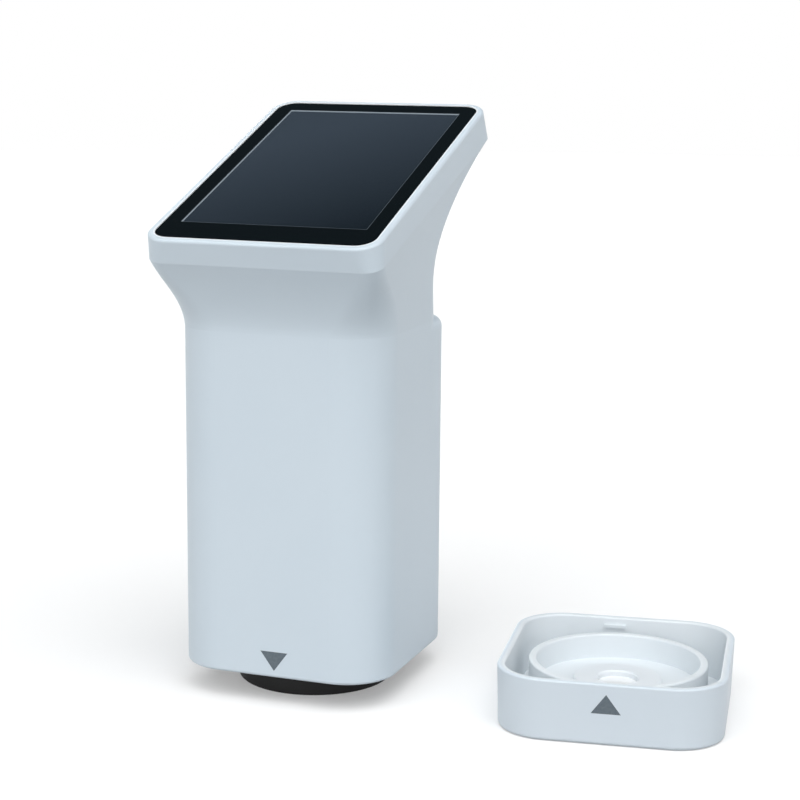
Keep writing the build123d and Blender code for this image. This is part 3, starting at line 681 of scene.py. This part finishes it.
@dataclass(frozen=True)
class StudioSheet(Finish):
    """Matt paper: white where it is seen, and greyer in the light that it throws on the object."""

    bounce: str = "#9c9c9c"
    lift: float = 0.0

    def build(self) -> bpy.types.Material:
        """Make the paper, which may also glow, up to white, where it is seen."""
        recipe = Recipe(self.name)
        path = recipe.add("ShaderNodeLightPath")
        seen = recipe.add(
            "ShaderNodeMath",
            {"operation": "MAXIMUM"},
            links={0: path.outputs["Is Camera Ray"], 1: path.outputs["Is Glossy Ray"]},
        )
        seen = recipe.add(
            "ShaderNodeMath",
            {"operation": "MAXIMUM"},
            links={0: seen.outputs[0], 1: path.outputs["Is Transmission Ray"]},
        )
        colour = recipe.add(
            "ShaderNodeMix",
            {"data_type": "RGBA"},
            {6: linear(self.bounce), 7: linear(self.colour)},
            {0: seen.outputs[0]},
        )
        paper = recipe.add("ShaderNodeBsdfDiffuse", links={"Color": colour.outputs[2]})
        amount = recipe.add(
            "ShaderNodeMath", {"operation": "MULTIPLY"}, {1: self.lift}, {0: seen.outputs[0]}
        )
        glow = recipe.add("ShaderNodeEmission", values={"Color": (1, 1, 1, 1), "Strength": 1.0})
        mixed = recipe.add(
            "ShaderNodeMixShader",
            links={0: amount.outputs[0], 1: paper.outputs[0], 2: glow.outputs[0]},
        )
        recipe.tree.links.new(mixed.outputs[0], recipe.output.inputs["Surface"])
        recipe.tree.nodes.remove(recipe.shader)
        return recipe.material


class Part:
    """Base of every sub-assembly: its nodes take their finishes from one table."""

    finishes: dict[Finish, tuple[str, ...]] = {}

    def dress(self, frame: Frame) -> None:
        """Give each node of this sub-assembly its finish.
        """
        for finish, names in self.finishes.items():
            material = finish.build()
            for name in names:
                frame["nodes"][name].material_slots[0].material = material
                LOG.info("%s: %s", name, finish.name)


def finish_piece(
    mesh: bmesh.types.BMesh, name: str, material: bpy.types.Material, body: str
) -> bpy.types.Object:
    """Turn a bmesh into a piece that rides on a body.

    Args:
        mesh: The piece, in place.
        name: Name of the piece.
        material: Its material.
        body: Construction body that it rides on.

    Returns:
        The piece.
    """
    data = bpy.data.meshes.new(name)
    mesh.to_mesh(data)
    mesh.free()
    data.materials.append(material)
    piece = bpy.data.objects.new(name, data)
    bpy.context.scene.collection.objects.link(piece)
    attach(piece, body)
    LOG.info("%s: new piece on %s", name, body)
    return piece


@dataclass(frozen=True)
class GlassEdge:
    """Upper face of the cover glass: middle of its lower edge, tilt, width and length."""

    origin: Vector
    tilt: float
    width: float
    length: float


def glass_edge(frame: Frame) -> GlassEdge:
    """Measure the upper face of the cover glass, in metres and radians.


    Returns:
        The face's place and sizes.
    """
    places = [v.co for v in frame["nodes"]["cover_glass"].data.vertices]
    low = min(places, key=lambda p: p.y)
    high = max(places, key=lambda p: p.z)
    reach = Vector((0.0, high.y - low.y, high.z - low.z))
    width = max(p.x for p in places) - min(p.x for p in places)
    tilt = math.atan2(reach.z, reach.y)
    return GlassEdge(Vector((0.0, low.y, low.z)), tilt, width, reach.length)


@dataclass
class AlignmentMark:
    """Printed triangle that shows how the cap and the instrument face each other.

    Sizes are in metres. The mark lies on a wall that looks towards -Y before it is turned.
    """

    name: str
    body: str
    place: Vector
    width: float
    height: float
    turn: float = 0.0
    lean: float = 0.0
    points_down: bool = False
    ink: float = 0.02 * MM

    def build(self, material: bpy.types.Material) -> bpy.types.Object:
        """Make the mark.

        Args:
            material: Material of the ink.

        Returns:
            The finished piece.
        """
        mesh = bmesh.new()
        bmesh.ops.create_circle(mesh, cap_ends=True, segments=3, radius=1.0)
        low = min(v.co.y for v in mesh.verts)
        high = max(v.co.y for v in mesh.verts)
        wide = max(v.co.x for v in mesh.verts) - min(v.co.x for v in mesh.verts)
        bmesh.ops.translate(mesh, vec=(0, -(low + high) / 2, 0), verts=mesh.verts)
        scale = (self.width / wide, self.height / (high - low), 1.0)
        bmesh.ops.scale(mesh, vec=scale, verts=mesh.verts)
        grown = bmesh.ops.extrude_face_region(mesh, geom=mesh.faces[:])
        top = [v for v in grown["geom"] if isinstance(v, bmesh.types.BMVert)]
        bmesh.ops.translate(mesh, vec=(0, 0, self.ink), verts=top)
        bmesh.ops.recalc_face_normals(mesh, faces=mesh.faces)
        flip = Matrix.Rotation(math.pi if self.points_down else 0.0, 4, "Z")
        upright = Matrix.Rotation(math.pi / 2 + self.lean, 4, "X")
        turned = Matrix.Rotation(self.turn, 4, "Z")
        placed = Matrix.Translation(self.place) @ turned @ upright @ flip
        bmesh.ops.transform(mesh, matrix=placed, verts=mesh.verts)
        return finish_piece(mesh, self.name, material, self.body)


@dataclass
class Housing(Part):
    """Moulded shell of column, neck and head, with the printed mark at its foot."""

    mark_x: float = 0.45 * MM
    mark_low: float = 9.05 * MM
    mark_high: float = 14.05 * MM
    mark_width: float = 7.4 * MM
    glass_corner: float = 4.6 * MM
    highlight_strip: float = 0.45 * MM

    def mould(self, frame: Frame) -> None:
        """Give the shell its plastic, with a painted highlight: a paler strip on the rim next to
        the glass.

        The real rim is rounder there and shows a highlight, which the painted strip stands for.
        """
        edge = glass_edge(frame)
        # Painted highlight: the rim's strip next to the glass is painted paler than the shell.
        finish = PaintedLightPlastic(
            "pale_abs_spark_eroded_painted_rim_highlight",
            "#cfdbe4",
            0.42,
            dense="#cad7e1",
            pale="#f1f5f8",
            origin=edge.origin / MM,
            angles=(edge.tilt, 0.0, 0.0),
            middle=(0.0, edge.length / 2 / MM),
            half=((edge.width / 2 + self.highlight_strip) / MM, (edge.length / 2 + self.highlight_strip) / MM),
            corner=(self.glass_corner + self.highlight_strip) / MM,
            fade=0.3,
        )
        frame["nodes"]["housing"].material_slots[0].material = finish.build()
        LOG.info("housing: %s", finish.name)

    def print_mark(self, ink: bpy.types.Material) -> None:
        """Print the triangle on the front wall of the column."""
        wall = -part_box("rear_cover")[1].y
        AlignmentMark(
            name="column_mark",
            body="instrument",
            place=Vector((self.mark_x, wall, (self.mark_low + self.mark_high) / 2)),
            width=self.mark_width,
            height=self.mark_high - self.mark_low,
            points_down=True,
        ).build(ink)


@dataclass
class RearPanel(Part):
    """Service cover with the measuring button and the charging socket, and the board behind it."""

    finishes = {
        MouldedPlastic("pale_abs_panel", "#cbd8e0", 0.45, dense="#c6d4dd"): ("rear_cover",),
        MouldedPlastic(
            "grey_soft_button", "#7d8890", 0.5, dense="#78838b", wall=MouldWall.FINE_ERODED
        ): ("measure_button",),
        PlatedSteel("nickel_socket", "#c3c3c0", 0.25): ("usb_socket",),
        MouldedPlastic(
            "black_liquid_crystal_polymer", "#17181a", 0.45, dense="#1d1e20"
        ): ("usb_tongue", "button_switch"),
        SolderMask("green_board_rear", "#14502c", 0.3): ("control_board",),
        PlatedSteel("zinc_plated_small_screws", "#c9cac6", 0.32): ("cover_screws", "board_screws"),
    }


@dataclass
class TouchScreen(Part):
    """Cover glass in its rim, and the display, carrier and board below it."""

    finishes = {
        FoamRubber("black_adhesive_foam", "#141416", 0.9): ("glass_gasket",),
        DisplayCell("display_cell", "#12161b", 0.2): ("display_panel",),
        MouldedPlastic("black_carrier", "#1b1c1e", 0.5, dense="#202123"): (
            "display_bracket",
            "buzzer",
        ),
        SolderMask("green_board_main", "#14502c", 0.3): ("main_board",),
        MouldedPlastic(
            "moulded_epoxy", "#1a1a1b", 0.4, dense="#212122", wall=MouldWall.FINE_ERODED
        ): ("board_chips",),
        FlexCircuit("amber_flex", "#b9772a", 0.35): ("ribbon_cable",),
        PlatedSteel("zinc_plated_bracket_screws", "#c9cac6", 0.32): ("bracket_screws",),
    }

    def glaze(self, frame: Frame) -> None:
        """Give the glass its printed back, in the glass's own sloping plane.
        """
        edge = glass_edge(frame)
        finish = PrintedGlass(
            "printed_float_glass", "#04090c", 0.04, origin=edge.origin, tilt=edge.tilt
        )
        frame["nodes"]["cover_glass"].material_slots[0].material = finish.build()
        LOG.info("cover_glass: %s, tilted %.1f degrees", finish.name, math.degrees(edge.tilt))


@dataclass
class MeasuringEnd(Part):
    """Base plate and the round black foot with the sample port."""

    finishes = {
        MouldedPlastic(
            "black_foot", "#070708", 0.6, ior=1.4, dense="#0a0a0b", wall=MouldWall.FINE_ERODED
        ): ("measuring_foot",),
        MouldedPlastic("black_base", "#1a1b1d", 0.5, dense="#1f2022"): ("base_plate",),
        PlatedSteel("zinc_plated_case_screws", "#c9cac6", 0.32): ("base_screws", "foot_screws"),
    }


@dataclass
class Optics(Part):
    """Integrating sphere, detector and lamp."""

    finishes = {
        SprayedReflector("sphere_coating", "#fbfbf8", 0.95): ("sphere_lower", "sphere_upper"),
        MouldedPlastic("black_optical_mounts", "#151618", 0.65, dense="#1a1b1d"): (
            "detector_tube",
            "lamp_holder",
        ),
        PolishedLens("polished_crown_glass", "#f2f6f7", 0.02, ior=1.52): ("detector_lens",),
        SolderMask("green_board_optics", "#14502c", 0.3): ("sensor_board", "lamp_board"),
        MouldedPlastic("sensor_epoxy", "#19191b", 0.25, dense="#222224"): ("sensor_chip",),
        MouldedPlastic("phosphor_resin", "#efe6b0", 0.3, dense="#e6d98c"): ("lamps",),
        PlatedSteel("zinc_plated_sphere_screws", "#c9cac6", 0.32): ("sphere_screws",),
    }


@dataclass
class PowerPack(Part):
    """Chassis plate that carries the battery in its tray."""

    finishes = {
        RolledAluminium("rolled_aluminium", "#c6c8ca", 0.38): ("chassis",),
        MouldedPlastic("black_tray", "#1c1d1f", 0.5, dense="#212224"): ("battery_tray",),
        LaminatedPouch("battery_pouch", "#a4abb1", 0.4): ("battery",),
        PlatedSteel("zinc_plated_chassis_screws", "#c9cac6", 0.32): ("chassis_screws",),
    }


CAP_TURN = math.radians(8.0)


@dataclass
class CalibrationCap(Part):
    """Cap that stands beside the instrument, with its white tile and the printed mark."""

    turn: float = CAP_TURN
    lean: float = math.radians(1.65)
    mark_low: float = 8.1 * MM
    mark_high: float = 13.0 * MM
    mark_width: float = 7.3 * MM
    finishes = {
        # The inside shows whiter than the outside: it is painted paler, as painted light.
        PaintedLightPlastic(
            "pale_abs_cap_painted_light_inside",
            "#d4dee6",
            0.42,
            dense="#cfdae3",
            origin=(82.7, 1.3, 0.0),
            angles=(0.0, 0.0, CAP_TURN),
            half=(27.5, 28.0),
            corner=12.0,
            height=(1.0, 20.0),
        ): ("cap_shell",),
        # The ring inside the cap is painted as pale as the cap's inside, as painted light.
        MouldedPlastic(
            "pale_abs_tile_ring_painted_light", "#e0e5e9", 0.4, dense="#dbe1e6", wall=MouldWall.FINE_ERODED
        ): ("tile_ring",),
        GlazedCeramic("glazed_white_tile", "#f1f3f4", 0.14): ("calibration_tile",),
        FoamRubber("grey_tile_pad", "#3a3b3d", 0.9): ("tile_pad",),
    }

    def print_mark(self, frame: Frame, ink: bpy.types.Material) -> None:
        """Print the triangle on the cap's front wall, which leans and is turned.

        Args:
            ink: Material of the ink.
        """
        low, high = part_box("calibration_tile")
        middle = Vector(((low.x + high.x) / 2, (low.y + high.y) / 2, 0))
        back = Matrix.Rotation(-self.turn, 4, "Z") @ Matrix.Translation(-middle)
        local = [back @ v.co for v in frame["nodes"]["cap_shell"].data.vertices]
        top = max(p.z for p in local)
        reach = -min(p.y for p in local)
        centre_z = (self.mark_low + self.mark_high) / 2
        wall = reach - (top - centre_z) * math.tan(self.lean)
        place = middle + Matrix.Rotation(self.turn, 3, "Z") @ Vector((0, -wall, 0))
        AlignmentMark(
            name="cap_mark",
            body="cap",
            place=place + Vector((0, 0, centre_z)),
            width=self.mark_width,
            height=self.mark_high - self.mark_low,
            turn=self.turn,
            lean=self.lean,
        ).build(ink)


@dataclass
class SoftBox:
    """Wide soft light, far away. Azimuth 0 is in front, and 90 on the +X side, in degrees."""

    name: str
    energy: float
    azimuth: float
    elevation: float
    spread: float = 60.0

    def build(self) -> None:
        """Hang the light and aim it at the object."""
        light = bpy.data.lights.new(self.name, "SUN")
        light.energy = self.energy
        light.angle = math.radians(self.spread)
        azimuth, elevation = math.radians(self.azimuth), math.radians(self.elevation)
        towards = Vector(
            (
                math.sin(azimuth) * math.cos(elevation),
                -math.cos(azimuth) * math.cos(elevation),
                math.sin(elevation),
            )
        )
        lamp = bpy.data.objects.new(self.name, light)
        lamp.rotation_euler = towards.to_track_quat("Z", "Y").to_euler()
        bpy.context.scene.collection.objects.link(lamp)


@dataclass
class Studio:
    """White floor with a low round wall, and the soft lights.

    The wall stops no light. Its own glow, and a share of the floor's, shows only where it is seen.
    """

    floor_radius: float = 2.4
    wall_radius: float = 2.7
    wall_height: float = 0.9
    floor_drop: float = 0.05 * MM
    sides: int = 96
    floor_glow: float = 0.25
    wall_glow: float = 1.0
    world_level: float = 0.06
    world_colour: str = "#c8e4f4"

    def build_stage(self) -> None:
        """Lay the floor and stand the wall round it."""
        floor = bmesh.new()
        bmesh.ops.create_circle(
            floor, cap_ends=True, segments=self.sides, radius=self.floor_radius
        )
        bmesh.ops.translate(floor, vec=(0, 0, -self.floor_drop), verts=floor.verts)
        wall = bmesh.new()
        bmesh.ops.create_cone(
            wall,
            cap_ends=False,
            segments=self.sides,
            radius1=self.floor_radius,
            radius2=self.wall_radius,
            depth=self.wall_height,
        )
        raised = self.wall_height / 2 - self.floor_drop
        bmesh.ops.translate(wall, vec=(0, 0, raised), verts=wall.verts)
        bmesh.ops.reverse_faces(wall, faces=wall.faces)
        for mesh, name, lift in (
            (floor, "floor", self.floor_glow),
            (wall, "backdrop", self.wall_glow),
        ):
            data = bpy.data.meshes.new(name)
            mesh.to_mesh(data)
            mesh.free()
            paper = StudioSheet(f"matt_paper_{name}", "#ffffff", 1.0, lift=lift)
            data.materials.append(paper.build())
            stage = bpy.data.objects.new(name, data)
            bpy.context.scene.collection.objects.link(stage)
            stage.visible_shadow = name == "floor"
            LOG.info("%s: stage", name)

    def build_lights(self) -> None:
        """Light from the front and above, with little behind for the glass to mirror."""
        for box in (
            SoftBox("left_light", 1.25, azimuth=-60, elevation=5),
            SoftBox("front_light", 1.85, azimuth=0, elevation=5),
            SoftBox("right_light", 1.2, azimuth=60, elevation=5),
            SoftBox("top_front_light", 1.65, azimuth=0, elevation=60),
            SoftBox("top_right_light", 1.25, azimuth=75, elevation=60),
            SoftBox("back_light", 1.2, azimuth=215, elevation=10, spread=30.0),
        ):
            box.build()
        world = bpy.data.worlds.new("dim_room")
        world.use_nodes = True
        background = world.node_tree.nodes["Background"]
        background.inputs["Color"].default_value = linear(self.world_colour)
        background.inputs["Strength"].default_value = self.world_level
        bpy.context.scene.world = world
        bpy.context.scene.view_settings.view_transform = "Standard"


@dataclass
class Viewpoint:
    """Camera at the photograph's place and angle, with its angles in degrees."""

    place: tuple[float, float, float] = (0.193132, -0.468814, 0.168546)
    yaw: float = 19.896
    pitch: float = 10.526
    roll: float = -0.51
    focal_px: float = 1964.0
    image_px: float = 800.0

    def build(self) -> None:
        """Make the camera and let the scene use it."""
        yaw, pitch, roll = (math.radians(a) for a in (self.yaw, self.pitch, self.roll))
        ahead = Vector(
            (-math.sin(yaw) * math.cos(pitch), math.cos(yaw) * math.cos(pitch), -math.sin(pitch))
        )
        across = Vector((math.cos(yaw), math.sin(yaw), 0))
        down = ahead.cross(across)
        right = math.cos(roll) * across + math.sin(roll) * down
        lower = math.cos(roll) * down - math.sin(roll) * across
        camera = bpy.data.cameras.new("camera")
        camera.lens = self.focal_px / self.image_px * camera.sensor_width
        camera.clip_start = 10 * MM
        holder = bpy.data.objects.new("camera", camera)
        turned = Matrix((right, -lower, -ahead)).transposed().to_4x4()
        holder.matrix_world = Matrix.Translation(self.place) @ turned
        bpy.context.scene.collection.objects.link(holder)
        bpy.context.scene.camera = holder


def main() -> None:
    """Dress the whole object and set the scene round it."""
    logging.basicConfig(level=logging.INFO, format="%(name)s %(message)s")
    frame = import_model()
    studio = Studio()
    studio.build_stage()
    studio.build_lights()
    Viewpoint().build()
    ink = PadPrint("pad_printed_grey", "#566169", 0.55).build()
    housing = Housing()
    housing.mould(frame)
    housing.print_mark(ink)
    screen = TouchScreen()
    screen.dress(frame)
    screen.glaze(frame)
    for part in (RearPanel(), MeasuringEnd(), Optics(), PowerPack()):
        part.dress(frame)
    cap = CalibrationCap()
    cap.dress(frame)
    cap.print_mark(frame, ink)


if __name__ == "__main__":
    main()
